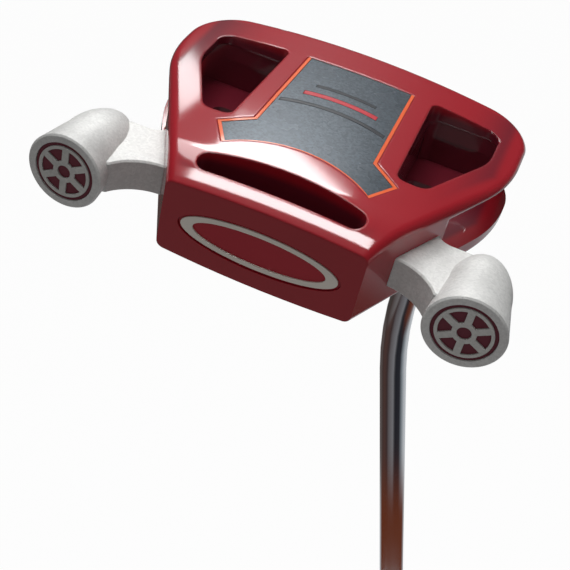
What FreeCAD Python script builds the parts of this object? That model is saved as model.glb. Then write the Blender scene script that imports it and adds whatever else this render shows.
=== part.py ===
import FreeCAD, Part
import math
import os

from FreeCAD import Matrix, Rotation, Vector

# Mallet putter with two rear pods, modelled as a set of separate pieces.
#
# Row frame: +Z runs up the straight part of the shaft, from the butt of the grip (the origin) to
# the head, which is at the top with its sole facing up, as the club hangs in a bag.
#
# The head is drawn in its own frame and then placed on the shaft. Head frame: x towards the heel,
# y from the rear edge to the striking face, z out through the sole, zero on the sole's centre line.
# Millimetres and degrees.

# ------------------------------------------------------------------ driving dimensions: club
CLUB_LENGTH = 864.0         # butt of the grip to the sole, along the shaft
SHAFT_TILT = 15.0           # shaft away from upright to the sole, towards the heel
TIP_DIAMETER = 9.4          # 0.370 inch putter tip
BUTT_DIAMETER = 14.7        # 0.580 inch butt
TUBE_WALL = 0.6
STEP_COUNT = 12             # steps in the tube from tip size to butt size
STEP_PITCH = 24.0
FIRST_STEP = 300.0          # height of the lowest step above the butt
BEND_RADIUS = 138.0
BEND_HEIGHT = 91.3          # corner of the bend, below the sole's centre line
TIP_X = 33.0                # tip socket in the crown, towards the heel
TIP_DEPTH = 20.0            # length of tube inside the head
PLUG_LENGTH = 14.0

# ------------------------------------------------------------------ driving dimensions: grip
GRIP_LENGTH = 267.0
CAP_THICKNESS = 5.0
TAPE_THICKNESS = 0.3
BOND = 0.05                 # bond line between glued pieces
# height above the butt, radius of the round back, distance of the flat front from the axis
GRIP_SECTIONS = (
    (CAP_THICKNESS, 13.3, 9.8),
    (20.0, 14.1, 10.2),
    (40.0, 14.5, 10.4),
    (65.0, 14.4, 10.4),
    (95.0, 13.7, 10.2),
    (130.0, 12.8, 10.0),
    (170.0, 11.9, 9.8),
    (215.0, 11.1, 9.6),
    (GRIP_LENGTH, 10.4, 9.4),
)

# ------------------------------------------------------------------ driving dimensions: head
HEAD_DEPTH = 88.8
HEEL_HALF = 52.9            # widest part from the centre plane, heel side
TOE_HALF = 54.9
HEAD_HEIGHT = 28.6
REAR_WIDTH = 55.6
FLANK_END = 34.2            # the heel flank reaches the widest part this far behind the face
FLANK_BLEND = 10.95         # the blend into the widest part starts this far before it
FRONT_CORNER = 15.0
CROWN_HALF = 52.8           # the crown plate is a little smaller than the sole
CROWN_CORNER = 22.0
WAIST_TUCK = 0.9            # the front wall's ends stand back from the sole, between the plates
WAIST_CORNER = 19.5
FACE_LOFT = 3.0             # the striking face is milled back towards the crown
SOLE_CAMBER = 301.0
CROWN_CAMBER = 319.0
ROLL_LENGTH = 15.0          # the sole rolls down to the rear edge over this length
ROLL_DROP = 4.5
SOLE_EDGE = 2.6
CROWN_EDGE = 2.0

SOLE_PLATE = 5.8            # underside of the sole plate, below the sole's centre line
CROWN_INNER = 20.2          # inner face of the crown plate, below the sole's centre line
REAR_BLOCK = 29.0           # depth of the solid rear block
FRONT_WALL = 12.9           # thickness of the wall behind the striking face
LEDGE_HEIGHT = 11.0         # step in the front wall's inner side, below the sole
LEDGE = 0.8
SPINE_WIDTH = 46.8
CAVITY_CORNER = 3.0

# window through the sole plate, heel side, as corners with their radii
WINDOW_CORNERS = (
    (24.0, 31.0, 2.5),
    (32.4, 31.5, 5.0),
    (44.6, HEAD_DEPTH - 30.6, 21.0),
    (44.6, HEAD_DEPTH - 13.9, 4.2),
    (22.7, HEAD_DEPTH - 13.9, 2.6),
)
# window through the crown plate
CROWN_WINDOW_CORNERS = (
    (24.0, 31.0, 2.5),
    (32.4, 31.5, 5.0),
    (38.8, HEAD_DEPTH - 40.0, 8.0),
    (38.8, HEAD_DEPTH - 26.0, 3.0),
    (24.0, HEAD_DEPTH - 26.0, 3.0),
)

SLOT_LENGTH = 46.4
SLOT_REAR = 5.0             # rear side of the slot, from the rear edge
SLOT_END_RADIUS = 3.2
SLOT_BOW = 14.3             # front side of the slot on the centre line, from the rear edge
SLOT_DEPTH = 17.0

# sole badge, heel side, outer outline of its border
BADGE_FRONT = (16.9, HEAD_DEPTH - 14.2)
BADGE_SHOULDER = (17.9, 33.6)
BADGE_WING_FRONT = (26.0, 26.9)
BADGE_WING_REAR = (20.8, 17.3)
BADGE_ARC_TOP = 25.3        # the arc's middle, from the rear edge
BADGE_DEPTH = 1.7           # floor of the recess, below the sole's centre line
BADGE_SINK = 0.25           # plate below the sole round it
BORDER_SINK = 0.1
BORDER_WIDTH = 1.0
BORDER_ARC_WIDTH = 0.6

MEDALLION_CENTRE = 17.0     # below the sole's centre line
MEDALLION_LENGTH = 45.8
MEDALLION_HEIGHT = 13.2
MEDALLION_DEPTH = 1.5
MEDALLION_PLATE = 0.9
RING_MARGIN = 0.8           # from the recess's edge to the ring
RING_END_WIDTH = 3.4
RING_SIDE_WIDTH = 1.3
RING_THICKNESS = 0.5

INSERT_LENGTH = 52.0
INSERT_HEIGHT = 17.0
INSERT_DEPTH = 3.0
INSERT_CENTRE = 14.6        # below the sole's centre line
INSERT_CORNER = 4.0

SIGHT_LINE_LENGTH = 40.0
SIGHT_LINE_WIDTH = 2.0
SIGHT_LINE_DEPTH = 0.6
SIGHT_LINE_END = 8.8        # front end of the line, behind the face

# ------------------------------------------------------------------ driving dimensions: pods
POD_X = 55.7                # pod axis, from the centre plane
POD_REAR = -1.5             # flat end, from the rear edge
POD_Z = -15.0
POD_TOE_IN = 2.5            # the noses point in towards the head
POD_DIAMETER = 21.9         # at the flat end
POD_WAIST = 18.8            # where the dome starts
POD_BARREL = 14.0
POD_DOME = 16.0
POD_NOSE = 6.9              # radius of the dome's tip
POD_LIP = 0.5
DISC_DIAMETER = 17.2
DISC_THICKNESS = 0.8
WHEEL_DIAMETER = 15.2
WHEEL_THICKNESS = 0.5
WHEEL_RIM = 0.9
HUB_DIAMETER = 6.4
HUB_HOLE = 3.8
SPOKE_COUNT = 6
SPOKE_WIDTH = 1.9
SLUG_DIAMETER = 12.6
SLUG_LENGTH = 13.0

ARM_TOP = 10.4              # below the sole's centre line
ARM_THICKNESS = 9.8
ARM_EDGE = 0.5
ARM_ROOT_REAR = 10.8        # root's rear end on the flank, from the rear edge
ARM_ROOT_FRONT = 27.4
ARM_FRONT = 25.0            # front edge beside the pod
ARM_WAIST = (40.8, 8.0)     # rear edge half way to the pod, and where it runs into the pod
ARM_NECK = (45.2, 3.2)
STUD_DIAMETER = 4.0
STUD_LENGTH = 13.0
STUD_SPACING = 8.4

FIT = 0.05                  # clearance round pieces set in a recess


# ------------------------------------------------------------------ drawing helpers
def rounded_wire(corners):
    """Closed wire through (x, y, radius) corners, with tangent arcs."""
    count = len(corners)
    points = [Vector(x, y, 0) for x, y, _ in corners]
    starts, middles, ends = [], [], []
    for i, (_, _, radius) in enumerate(corners):
        corner = points[i]
        back = (points[i - 1] - corner).normalize()
        ahead = (points[(i + 1) % count] - corner).normalize()
        half = back.getAngle(ahead) / 2
        reach = radius / math.tan(half)
        inward = (back + ahead).normalize()
        starts.append(corner + back * reach)
        ends.append(corner + ahead * reach)
        middles.append(corner + inward * (radius / math.sin(half) - radius))
    edges = []
    for i in range(count):
        if corners[i][2] > 0:
            edges.append(Part.Arc(starts[i], middles[i], ends[i]).toShape())
        edges.append(Part.makeLine(ends[i], starts[(i + 1) % count]))
    return Part.Wire(edges)


def prism(wire, low, high):
    """Solid between two heights over a wire drawn at z = 0."""
    face = Part.Face(wire)
    face.translate(Vector(0, 0, low))
    return face.extrude(Vector(0, 0, high - low))


def both_sides(shape):
    """The shape and its mirror image across the centre plane."""
    return [shape, mirrored(shape)]


def mirrored(shape):
    return shape.mirror(Vector(0, 0, 0), Vector(1, 0, 0))


def cylinder(radius, start, direction, length):
    return Part.makeCylinder(radius, length, start, direction)


def edges_near(shape, test):
    """Edges whose middle point passes the test."""
    found = []
    for edge in shape.Edges:
        middle = edge.valueAt((edge.FirstParameter + edge.LastParameter) / 2)
        if test(middle):
            found.append(edge)
    return found


def flank_run():
    """How far a flank runs out for each millimetre of depth."""
    return (HEEL_HALF - REAR_WIDTH / 2) / (HEAD_DEPTH - FLANK_END)


def flank_x(y):
    """The flank's distance from the centre plane."""
    return REAR_WIDTH / 2 + flank_run() * y


# ------------------------------------------------------------------ head casting
def below_sole(sink):
    """Everything under the cambered sole with its rear roll, lowered by sink."""
    roll_radius = (ROLL_LENGTH ** 2 + ROLL_DROP ** 2) / (2 * ROLL_DROP)
    half_angle = math.asin(ROLL_LENGTH / roll_radius) / 2
    middle_y = ROLL_LENGTH - roll_radius * math.sin(half_angle)
    middle_z = roll_radius * (math.cos(half_angle) - 1)
    floor = -2 * HEAD_HEIGHT
    far = HEAD_DEPTH + HEAD_HEIGHT
    rear = Vector(0, 0, -ROLL_DROP)
    tangent = Vector(0, ROLL_LENGTH, 0)
    behind = -HEAD_HEIGHT
    edges = [
        Part.makeLine(Vector(0, far, 0), tangent),
        Part.Arc(tangent, Vector(0, middle_y, middle_z), rear).toShape(),
        Part.makeLine(rear, Vector(0, behind, -ROLL_DROP)),
        Part.makeLine(Vector(0, behind, -ROLL_DROP), Vector(0, behind, floor)),
        Part.makeLine(Vector(0, behind, floor), Vector(0, far, floor)),
        Part.makeLine(Vector(0, far, floor), Vector(0, far, 0)),
    ]
    face = Part.Face(Part.Wire(edges))
    axis = Vector(0, 0, -SOLE_CAMBER)
    sweep = 30.0
    face.rotate(axis, Vector(0, 1, 0), -sweep / 2)
    solid = face.revolve(axis, Vector(0, 1, 0), sweep)
    solid.translate(Vector(0, 0, -sink))
    return solid


def above_crown():
    """Everything on the sole's side of the cambered crown."""
    reach = 2 * TOE_HALF
    radius = CROWN_CAMBER
    side_z = radius - HEAD_HEIGHT - math.sqrt(radius ** 2 - reach ** 2)
    top = 2 * HEAD_HEIGHT
    heel = Vector(reach, 0, side_z)
    toe = Vector(-reach, 0, side_z)
    arc = Part.Arc(toe, Vector(0, 0, -HEAD_HEIGHT), heel).toShape()
    edges = [
        arc,
        Part.makeLine(heel, Vector(reach, 0, top)),
        Part.makeLine(Vector(reach, 0, top), Vector(-reach, 0, top)),
        Part.makeLine(Vector(-reach, 0, top), toe),
    ]
    face = Part.Face(Part.Wire(edges))
    face.translate(Vector(0, -HEAD_HEIGHT, 0))
    return face.extrude(Vector(0, HEAD_DEPTH + 2 * HEAD_HEIGHT, 0))


def head_outline(heel, toe, corner):
    """Plan of the head, with given half widths and front corners."""
    rear = REAR_WIDTH / 2
    blend = FLANK_BLEND / math.tan(math.atan(flank_run()) / 2)
    return rounded_wire((
        (-rear, 0, 0),
        (rear, 0, 0),
        (heel, (heel - rear) / flank_run(), blend),
        (heel, HEAD_DEPTH, corner),
        (-toe, HEAD_DEPTH, corner),
        (-toe, (toe - rear) / flank_run(), blend),
    ))


def trimming(wire, rear, low, high):
    """What lies outside an outline between two heights, in front of a distance from the rear edge."""
    reach = 2 * TOE_HALF
    start = Vector(-reach, rear, low)
    slab = Part.makeBox(2 * reach, HEAD_DEPTH, high - low, start)
    return slab.cut(prism(wire, low - 1, high + 1))


def lofted(shape):
    """The shape leaned back with the striking face, about its leading edge."""
    return shape.rotated(Vector(0, HEAD_DEPTH, 0), Vector(1, 0, 0), -FACE_LOFT)


def head_blank():
    """Outer form of the head, with its rounded edges and its milled face."""
    blank = prism(head_outline(HEEL_HALF, TOE_HALF, FRONT_CORNER), -2 * HEAD_HEIGHT, HEAD_HEIGHT)
    blank = blank.common(below_sole(0)).common(above_crown())
    sole_edges = edges_near(blank, on_sole_rim)
    blank = blank.makeFillet(SOLE_EDGE, [e for e in sole_edges if on_outline(e)])
    crown = head_outline(CROWN_HALF, CROWN_HALF, CROWN_CORNER)
    blank = blank.cut(trimming(crown, REAR_BLOCK, -2 * HEAD_HEIGHT, -CROWN_INNER))
    crown_edges = [e for e in edges_near(blank, on_crown_rim) if on_crown(e)]
    blank = blank.makeFillet(CROWN_EDGE, crown_edges)
    waist = head_outline(HEEL_HALF - WAIST_TUCK, TOE_HALF - WAIST_TUCK, WAIST_CORNER)
    cavity_end = HEAD_DEPTH - FRONT_WALL - 2 * LEDGE
    blank = blank.cut(trimming(waist, cavity_end, -CROWN_INNER, -SOLE_PLATE))
    reach = 2 * TOE_HALF
    milled = Part.makeBox(2 * reach, HEAD_HEIGHT, 4 * HEAD_HEIGHT)
    milled.translate(Vector(-reach, HEAD_DEPTH, -2 * HEAD_HEIGHT))
    return blank.cut(lofted(milled))


def on_sole_rim(p):
    """A point of the sole's edge, apart from the rear roll's own end."""
    at_side = p.y > 1 and abs(p.x) > 1
    at_face = p.y > HEAD_DEPTH - 1
    return p.z > -HEAD_HEIGHT / 2 and (at_side or at_face)


def on_crown_rim(p):
    return p.z < -HEAD_HEIGHT / 2 and p.y > 1


def on_outline(edge):
    """An edge along the rim, which doesn't run up the side."""
    ends = [v.Point for v in edge.Vertexes]
    return abs(ends[0].z - ends[-1].z) < HEAD_HEIGHT / 2


def on_crown(edge):
    """An edge that lies in the cambered crown."""
    centre_z = CROWN_CAMBER - HEAD_HEIGHT
    for vertex in edge.Vertexes:
        p = vertex.Point
        if abs(math.hypot(p.x, p.z - centre_z) - CROWN_CAMBER) > 0.01:
            return False
    return True


def side_cavity():
    """Space between sole plate and crown plate on the heel side, open at the flank."""
    inner = SPINE_WIDTH / 2
    front = HEAD_DEPTH - FRONT_WALL
    out = 2 * TOE_HALF
    lower = rounded_wire((
        (inner, REAR_BLOCK, CAVITY_CORNER),
        (out, REAR_BLOCK, 0),
        (out, front, 0),
        (inner, front, CAVITY_CORNER),
    ))
    upper = rounded_wire((
        (inner, REAR_BLOCK, CAVITY_CORNER),
        (out, REAR_BLOCK, 0),
        (out, front - LEDGE, 0),
        (inner, front - LEDGE, CAVITY_CORNER),
    ))
    return prism(lower, -CROWN_INNER, -LEDGE_HEIGHT).fuse(prism(upper, -LEDGE_HEIGHT, -SOLE_PLATE))


def slot_wire():
    """Rounded slot across the rear block, bowed towards the face."""
    centre_x = SLOT_LENGTH / 2 - SLOT_END_RADIUS
    centre_y = SLOT_REAR + SLOT_END_RADIUS
    turn = math.radians(70)
    side = Vector(centre_x + SLOT_END_RADIUS * math.cos(turn), centre_y + SLOT_END_RADIUS * math.sin(turn), 0)
    outer = Vector(centre_x + SLOT_END_RADIUS, centre_y, 0)
    rear = Vector(centre_x, SLOT_REAR, 0)
    bow = Vector(0, SLOT_BOW, 0)

    def other(p):
        return Vector(-p.x, p.y, 0)

    return Part.Wire([
        Part.makeLine(other(rear), rear),
        Part.Arc(rear, outer, side).toShape(),
        Part.Arc(side, bow, other(side)).toShape(),
        Part.Arc(other(side), other(outer), other(rear)).toShape(),
    ])


def head_casting():
    body = head_blank()
    tools = []
    tools += both_sides(side_cavity())
    tools += both_sides(prism(rounded_wire(WINDOW_CORNERS), -SOLE_PLATE - 1, HEAD_HEIGHT))
    tools += both_sides(prism(rounded_wire(CROWN_WINDOW_CORNERS), -2 * HEAD_HEIGHT, -CROWN_INNER + 1))
    tools.append(prism(slot_wire(), -SLOT_DEPTH, HEAD_HEIGHT))
    tools.append(prism(badge_wire(0, 0), -BADGE_DEPTH, HEAD_HEIGHT))
    tools.append(medallion_disc(0, 0, 0, MEDALLION_DEPTH))
    tools.append(insert_block(0, INSERT_DEPTH))
    tools.append(sight_line_block(0, HEAD_HEIGHT))
    tools.append(tip_socket())
    tools += both_sides(stud_pair(0))
    for tool in tools:
        body = body.cut(tool)
    return body.removeSplitter()


def tip_socket():
    """Blind hole in the crown that takes the shaft's tip."""
    start = tip_point(HEAD_HEIGHT - TIP_DEPTH)
    return cylinder(TIP_DIAMETER / 2 + BOND, start, Vector(0, 0, -1), HEAD_HEIGHT)


# ------------------------------------------------------------------ badge on the sole
def badge_wire(margin, arc_margin):
    """Badge outline, drawn in by margin at its sides and by arc_margin along its rear arc."""
    corners = [BADGE_FRONT, BADGE_SHOULDER, BADGE_WING_FRONT, BADGE_WING_REAR]
    inset = [Vector(BADGE_FRONT[0] - margin, BADGE_FRONT[1], 0)]
    for i in (1, 2):
        inset.append(offset_corner(corners[i - 1], corners[i], corners[i + 1], margin))
    wing = Vector(*BADGE_WING_REAR, 0)
    along = (Vector(*BADGE_WING_FRONT, 0) - wing).normalize()
    across = Vector(-along.y, along.x, 0)
    inset.append(wing + across * margin + along * arc_margin)
    top = Vector(0, BADGE_ARC_TOP + arc_margin, 0)
    heel = inset
    toe = [Vector(-p.x, p.y, 0) for p in reversed(inset)]
    edges = [Part.makeLine(heel[i], heel[i + 1]) for i in range(3)]
    edges.append(Part.Arc(heel[3], top, toe[0]).toShape())
    edges += [Part.makeLine(toe[i], toe[i + 1]) for i in range(3)]
    edges.append(Part.makeLine(toe[3], heel[0]))
    return Part.Wire(edges)


def offset_corner(before, corner, after, margin):
    """The corner moved inwards so that both its sides move by margin."""
    a, b, c = (Vector(*p, 0) for p in (before, corner, after))
    first = (b - a).normalize()
    second = (c - b).normalize()
    inward_1 = Vector(first.y, -first.x, 0)
    inward_2 = Vector(second.y, -second.x, 0)
    inward = inward_1 + inward_2
    return b + inward * (margin / (1 + inward_1.dot(inward_2)))


def sole_badge():
    plate = prism(badge_wire(BORDER_WIDTH + FIT, BORDER_ARC_WIDTH + FIT), -BADGE_DEPTH, HEAD_HEIGHT)
    return plate.common(below_sole(BADGE_SINK))


def badge_border():
    outer = prism(badge_wire(FIT, FIT), -BADGE_DEPTH, HEAD_HEIGHT)
    inner = prism(badge_wire(BORDER_WIDTH, BORDER_ARC_WIDTH), -HEAD_HEIGHT, 2 * HEAD_HEIGHT)
    return outer.cut(inner).common(below_sole(BORDER_SINK))


# ------------------------------------------------------------------ medallion in the rear face
def medallion_disc(length_margin, height_margin, start, end):
    """Oval slab between two depths from the rear face."""
    major = MEDALLION_LENGTH / 2 - length_margin
    minor = MEDALLION_HEIGHT / 2 - height_margin
    oval = Part.Ellipse(Vector(0, 0, 0), major, minor)
    face = Part.Face(Part.Wire([oval.toShape()]))
    face.rotate(Vector(0, 0, 0), Vector(1, 0, 0), 90)
    face.translate(Vector(0, start, -MEDALLION_CENTRE))
    return face.extrude(Vector(0, end - start, 0))


def medallion_plate():
    return medallion_disc(FIT, FIT, MEDALLION_DEPTH - MEDALLION_PLATE, MEDALLION_DEPTH)


def medallion_ring():
    seat = MEDALLION_DEPTH - MEDALLION_PLATE
    outer = medallion_disc(RING_MARGIN, RING_MARGIN, seat - RING_THICKNESS, seat)
    end_margin = RING_MARGIN + RING_END_WIDTH
    side_margin = RING_MARGIN + RING_SIDE_WIDTH
    return outer.cut(medallion_disc(end_margin, side_margin, -1, MEDALLION_DEPTH))


# ------------------------------------------------------------------ striking face and crown
def insert_block(margin, depth):
    """Rounded block let into the striking face."""
    half = INSERT_LENGTH / 2 - margin
    rise = INSERT_HEIGHT / 2 - margin
    radius = INSERT_CORNER - margin
    corners = ((-half, -rise, radius), (half, -rise, radius), (half, rise, radius), (-half, rise, radius))
    wire = rounded_wire(corners)
    face = Part.Face(wire)
    face.rotate(Vector(0, 0, 0), Vector(1, 0, 0), 90)
    face.translate(Vector(0, HEAD_DEPTH, -INSERT_CENTRE))
    return lofted(face.extrude(Vector(0, -depth, 0)))


def face_insert():
    return insert_block(FIT, INSERT_DEPTH - TAPE_THICKNESS)


def insert_tape():
    block = insert_block(FIT, INSERT_DEPTH)
    return block.cut(insert_block(-1, INSERT_DEPTH - TAPE_THICKNESS))


def sight_line_block(margin, depth):
    rear = HEAD_DEPTH - SIGHT_LINE_END - SIGHT_LINE_LENGTH
    start = Vector(margin - SIGHT_LINE_WIDTH / 2, rear + margin, SIGHT_LINE_DEPTH - HEAD_HEIGHT - depth)
    return Part.makeBox(SIGHT_LINE_WIDTH - 2 * margin, SIGHT_LINE_LENGTH - 2 * margin, depth, start)


def sight_line():
    return sight_line_block(FIT, SIGHT_LINE_DEPTH - BORDER_SINK)


# ------------------------------------------------------------------ pods
def pod_point(depth):
    """Point on the heel pod's axis, at a depth from its flat end, before it is toed in."""
    return Vector(POD_X, POD_REAR + depth, POD_Z)


def toed_in(shape):
    """The shape turned with the heel pod, about the middle of its flat end."""
    return shape.rotated(pod_point(0), Vector(0, 0, 1), POD_TOE_IN)


def pod_cylinder(diameter, depth, length):
    """Cylinder on the heel pod's axis, from a depth on."""
    return toed_in(cylinder(diameter / 2, pod_point(depth), Vector(0, 1, 0), length))


def pod_body():
    """Bullet shape: a slightly tapered barrel, a dome's side arc and a ball nose."""
    rim = POD_DIAMETER / 2
    waist = POD_WAIST / 2
    nose = POD_DOME - POD_NOSE
    side = (nose ** 2 + waist ** 2 - POD_NOSE ** 2) / (2 * (waist - POD_NOSE))
    turn = math.asin(nose / (side - POD_NOSE))

    def on_side(angle):
        return Vector(POD_BARREL + side * math.sin(angle), waist - side + side * math.cos(angle), 0)

    def on_nose(angle):
        return Vector(POD_BARREL + nose + POD_NOSE * math.sin(angle), POD_NOSE * math.cos(angle), 0)

    tip = Vector(POD_BARREL + POD_DOME, 0, 0)
    edges = [
        Part.makeLine(Vector(0, 0, 0), Vector(0, rim - POD_LIP, 0)),
        Part.makeLine(Vector(0, rim - POD_LIP, 0), Vector(POD_LIP, rim, 0)),
        Part.makeLine(Vector(POD_LIP, rim, 0), on_side(0)),
        Part.Arc(on_side(0), on_side(turn / 2), on_side(turn)).toShape(),
        Part.Arc(on_side(turn), on_nose((turn + math.pi / 2) / 2), tip).toShape(),
        Part.makeLine(tip, Vector(0, 0, 0)),
    ]
    face = Part.Face(Part.Wire(edges))
    solid = face.revolve(Vector(0, 0, 0), Vector(1, 0, 0), 360)
    solid.rotate(Vector(0, 0, 0), Vector(0, 0, 1), 90)
    solid.translate(pod_point(0))
    return toed_in(solid)


def arm_body():
    """Flat arm from the flank to the pod, hollowed on its rear side."""
    root_rear = Vector(flank_x(ARM_ROOT_REAR), ARM_ROOT_REAR, 0)
    root_front = Vector(flank_x(ARM_ROOT_FRONT), ARM_ROOT_FRONT, 0)
    inside = POD_X - ARM_FRONT * math.sin(math.radians(POD_TOE_IN))
    pod_rear = Vector(inside, POD_REAR + POD_LIP + 1.0, 0)
    pod_front = Vector(inside, ARM_FRONT, 0)
    front_turn = Vector(root_front.x + 4.6, ARM_FRONT, 0)
    waist = Vector(*ARM_WAIST, 0)
    neck = Vector(*ARM_NECK, 0)
    flare_middle = Vector(root_front.x + 1.7, (root_front.y + ARM_FRONT) / 2 - 0.5, 0)
    wire = Part.Wire([
        Part.Arc(root_rear, waist, neck).toShape(),
        Part.makeLine(neck, pod_rear),
        Part.makeLine(pod_rear, pod_front),
        Part.makeLine(pod_front, front_turn),
        Part.Arc(front_turn, flare_middle, root_front).toShape(),
        Part.makeLine(root_front, root_rear),
    ])
    arm = prism(wire, -ARM_TOP - ARM_THICKNESS, -ARM_TOP)

    def long_edge(p):
        on_face = abs(p.z + ARM_TOP) < 0.01 or abs(p.z + ARM_TOP + ARM_THICKNESS) < 0.01
        off_root = p.x > flank_x(p.y) + 0.5
        return on_face and off_root and p.x < inside - 1

    return arm.makeChamfer(ARM_EDGE, edges_near(arm, long_edge))


def stud_pair(length_margin):
    """Studs that hold one arm on its flank."""
    along = Vector(flank_run(), 1, 0).normalize()
    out = Vector(along.y, -along.x, 0)
    middle_y = (ARM_ROOT_REAR + ARM_ROOT_FRONT) / 2
    middle = Vector(flank_x(middle_y), middle_y, -ARM_TOP - ARM_THICKNESS / 2)
    length = STUD_LENGTH - 2 * length_margin
    radius = STUD_DIAMETER / 2 - (BOND if length_margin else 0)
    solids = []
    for side in (-1, 1):
        start = middle + along * (side * STUD_SPACING / 2) - out * (length / 2)
        solids.append(cylinder(radius, start, out, length))
    return Part.makeCompound(solids)


def pod():
    """Pod and arm, one casting, bored from its flat end for the slug and the end disc."""
    solid = pod_body().fuse(arm_body()).removeSplitter()
    seat = DISC_THICKNESS + WHEEL_THICKNESS
    solid = solid.cut(pod_cylinder(DISC_DIAMETER + 2 * FIT, 0, seat))
    solid = solid.cut(pod_cylinder(SLUG_DIAMETER + 2 * FIT, 0, seat + SLUG_LENGTH + FIT))
    return solid.cut(stud_pair(0))


def slug():
    return pod_cylinder(SLUG_DIAMETER, DISC_THICKNESS + WHEEL_THICKNESS, SLUG_LENGTH)


def backing_disc():
    return pod_cylinder(DISC_DIAMETER, WHEEL_THICKNESS, DISC_THICKNESS)


def spoke_gap():
    """Wedge-shaped opening between two spokes of the end wheel, drawn round the z axis."""
    inner = HUB_DIAMETER / 2
    outer = WHEEL_DIAMETER / 2 - WHEEL_RIM
    half = math.pi / SPOKE_COUNT

    def at(radius, side):
        angle = side * (half - math.asin(SPOKE_WIDTH / 2 / radius))
        return Vector(radius * math.cos(angle), radius * math.sin(angle), 0)

    wire = Part.Wire([
        Part.makeLine(at(inner, -1), at(outer, -1)),
        Part.Arc(at(outer, -1), Vector(outer, 0, 0), at(outer, 1)).toShape(),
        Part.makeLine(at(outer, 1), at(inner, 1)),
        Part.Arc(at(inner, 1), Vector(inner, 0, 0), at(inner, -1)).toShape(),
    ])
    return prism(wire, -1, WHEEL_THICKNESS + 1)


def end_wheel():
    """Flat spoked wheel with a plain hub, flush in the pod's end."""
    wheel = Part.makeCylinder(WHEEL_DIAMETER / 2, WHEEL_THICKNESS)
    wheel = wheel.cut(Part.makeCylinder(HUB_HOLE / 2, WHEEL_THICKNESS))
    gap = spoke_gap()
    for i in range(SPOKE_COUNT):
        wheel = wheel.cut(gap.rotated(Vector(0, 0, 0), Vector(0, 0, 1), i * 360 / SPOKE_COUNT))
    wheel.rotate(Vector(0, 0, 0), Vector(1, 0, 0), -90)
    wheel.translate(pod_point(0))
    return toed_in(wheel)


# ------------------------------------------------------------------ shaft
def tip_point(below):
    """Point on the shaft's tip axis, below the sole by a height, midway in the front wall at the crown."""
    milled = HEAD_HEIGHT * math.tan(math.radians(FACE_LOFT))
    return Vector(TIP_X, HEAD_DEPTH - (FRONT_WALL + milled) / 2, -below)


def corner_height():
    """Height of the bend's corner above the butt."""
    return CLUB_LENGTH - BEND_HEIGHT / math.cos(math.radians(SHAFT_TILT))


def tube_profile(shrink):
    """Half section of the stepped straight tube, as (radius, height) points."""
    tip = TIP_DIAMETER / 2 - shrink
    butt = BUTT_DIAMETER / 2 - shrink
    rise = (butt - tip) / STEP_COUNT
    points = [(0, CAP_THICKNESS), (butt, CAP_THICKNESS)]
    for i in range(STEP_COUNT):
        height = FIRST_STEP + i * STEP_PITCH
        points.append((butt - rise * i, height))
        points.append((butt - rise * (i + 1), height + rise))
    points.append((tip, corner_height() - bend_reach()))
    points.append((0, corner_height() - bend_reach()))
    return points


def bend_reach():
    return BEND_RADIUS * math.tan(math.radians(SHAFT_TILT) / 2)


def tube_run(shrink):
    """Solid of the whole shaft, drawn in the row frame, shrink inside its surface."""
    points = [Vector(r, 0, z) for r, z in tube_profile(shrink)]
    straight = Part.Face(Part.makePolygon(points + points[:1]))
    straight = straight.revolve(Vector(0, 0, 0), Vector(0, 0, 1), 360)
    radius = TIP_DIAMETER / 2 - shrink
    level = corner_height() - bend_reach()
    disc = Part.Face(Part.Wire([Part.makeCircle(radius, Vector(0, 0, level))]))
    bend = disc.revolve(Vector(BEND_RADIUS, 0, level), Vector(0, 1, 0), SHAFT_TILT)
    up = head_direction(Vector(0, 0, 1))
    start = Vector(0, 0, corner_height()) + up * bend_reach()
    length = BEND_HEIGHT - bend_reach() - HEAD_HEIGHT + TIP_DEPTH
    tip = cylinder(radius, start, up, length)
    return straight.fuse([bend, tip])


def shaft():
    return tube_run(0).cut(tube_run(TUBE_WALL))


def shaft_plug():
    """Plug in the tube just above its open tip, drawn in the head frame."""
    radius = TIP_DIAMETER / 2 - TUBE_WALL - BOND
    return cylinder(radius, tip_point(HEAD_HEIGHT - TIP_DEPTH), Vector(0, 0, -1), PLUG_LENGTH)


# ------------------------------------------------------------------ grip
def grip_section(height, back_radius, front):
    """Putter grip section: round back, flat front with rounded corners."""
    corner = 2.2
    half = math.sqrt(back_radius ** 2 - front ** 2)
    turn = math.atan2(front, half)
    blend_x = (back_radius - corner) * math.cos(turn)
    blend_y = front - corner
    reach = math.hypot(blend_x, blend_y)
    out = Vector(blend_x / reach, blend_y / reach, 0)
    centre = Vector(blend_x, blend_y, 0)
    shoulder = centre + out * corner
    flat_end = centre + Vector(0, corner, 0)
    middle = centre + (out + Vector(0, 1, 0)).normalize() * corner

    def other(p):
        return Vector(-p.x, p.y, p.z)

    wire = Part.Wire([
        Part.makeLine(other(flat_end), flat_end),
        Part.Arc(flat_end, middle, shoulder).toShape(),
        Part.Arc(shoulder, Vector(0, -back_radius, 0), other(shoulder)).toShape(),
        Part.Arc(other(shoulder), other(middle), other(flat_end)).toShape(),
    ])
    wire.translate(Vector(0, 0, height))
    return wire


def grip_sleeve():
    body = Part.makeLoft([grip_section(*s) for s in GRIP_SECTIONS], True, True)
    bore = BUTT_DIAMETER / 2 + TAPE_THICKNESS + 2 * BOND
    return body.cut(Part.makeCylinder(bore, GRIP_LENGTH))


def grip_cap():
    cap = prism(grip_section(0, *GRIP_SECTIONS[0][1:]), 0, CAP_THICKNESS)
    rim = edges_near(cap, lambda p: p.z < 0.01)
    return cap.makeChamfer(1.2, rim)


def grip_tape():
    inner = BUTT_DIAMETER / 2 + BOND
    length = GRIP_LENGTH - 2 * CAP_THICKNESS
    tape = Part.makeCylinder(inner + TAPE_THICKNESS, length, Vector(0, 0, CAP_THICKNESS))
    return tape.cut(Part.makeCylinder(inner, GRIP_LENGTH))


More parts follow.
